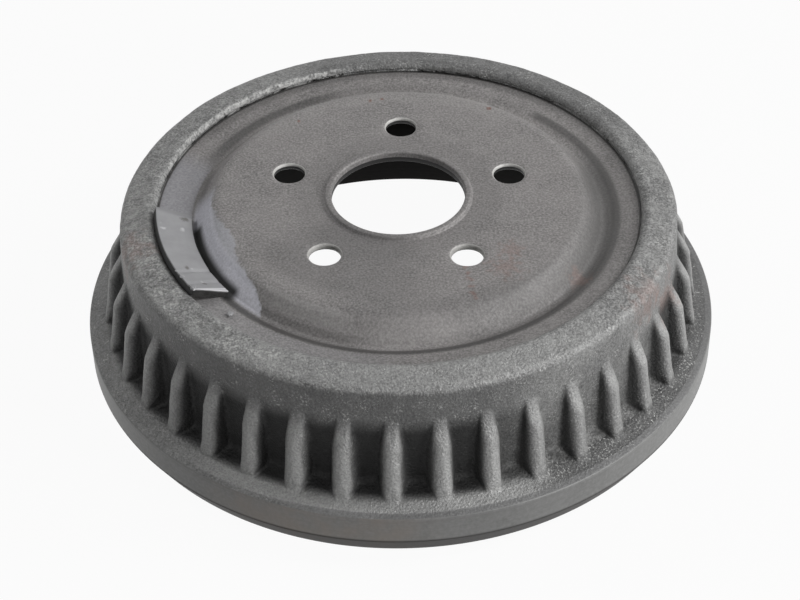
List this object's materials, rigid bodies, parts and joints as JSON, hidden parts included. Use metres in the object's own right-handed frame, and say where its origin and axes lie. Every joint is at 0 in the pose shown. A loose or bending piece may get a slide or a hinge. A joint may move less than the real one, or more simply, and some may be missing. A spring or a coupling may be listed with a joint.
{
  "type": "brake drum",
  "caption": "Composite brake drum: pressed steel web with bore and stud holes, cast into a finned iron ring with a turned flange, open at the shoe side.",
  "frame": {"origin": "on the wheel axis, in the plane of the open mouth that the drum stands on", "axes": "+Z along the wheel axis from the mouth to the hub face, towards the wheel; +X to the right of the front view and +Y away from it, with a stud hole near +Y"},
  "size_m": [0.2748, 0.2748, 0.0797],
  "materials": {
    "cast_iron": "rough",
    "web_steel": "matte",
    "weight_steel": "matte"
  },
  "bodies": {
    "root": {"finned_ring": "cast_iron", "steel_web": "web_steel", "balance_weight": "weight_steel"}
  },
  "joints": []
}
